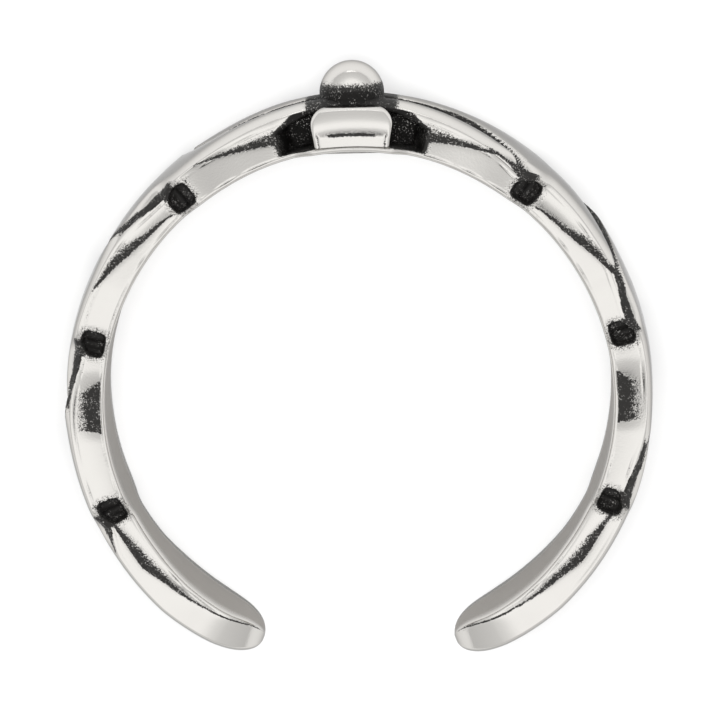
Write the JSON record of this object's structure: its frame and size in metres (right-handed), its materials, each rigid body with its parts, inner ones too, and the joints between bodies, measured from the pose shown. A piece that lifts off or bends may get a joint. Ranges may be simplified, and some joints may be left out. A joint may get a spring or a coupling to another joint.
{
  "type": "toe ring",
  "caption": "Open toe ring cast in silver: a band of twisted strands with notched edges, a bead between petals at the top, and a gap between rounded ends.",
  "frame": {"origin": "centre of the round hole that the toe goes through", "axes": "+Z along the hole, +Y from the hole's centre towards the bead, the gap between the ends at -Y"},
  "size_m": [0.0174, 0.0179, 0.0036],
  "materials": {
    "silver": "softly polished sterling silver, blackened in its recesses"
  },
  "bodies": {
    "root": {"ring": "silver"}
  },
  "joints": []
}
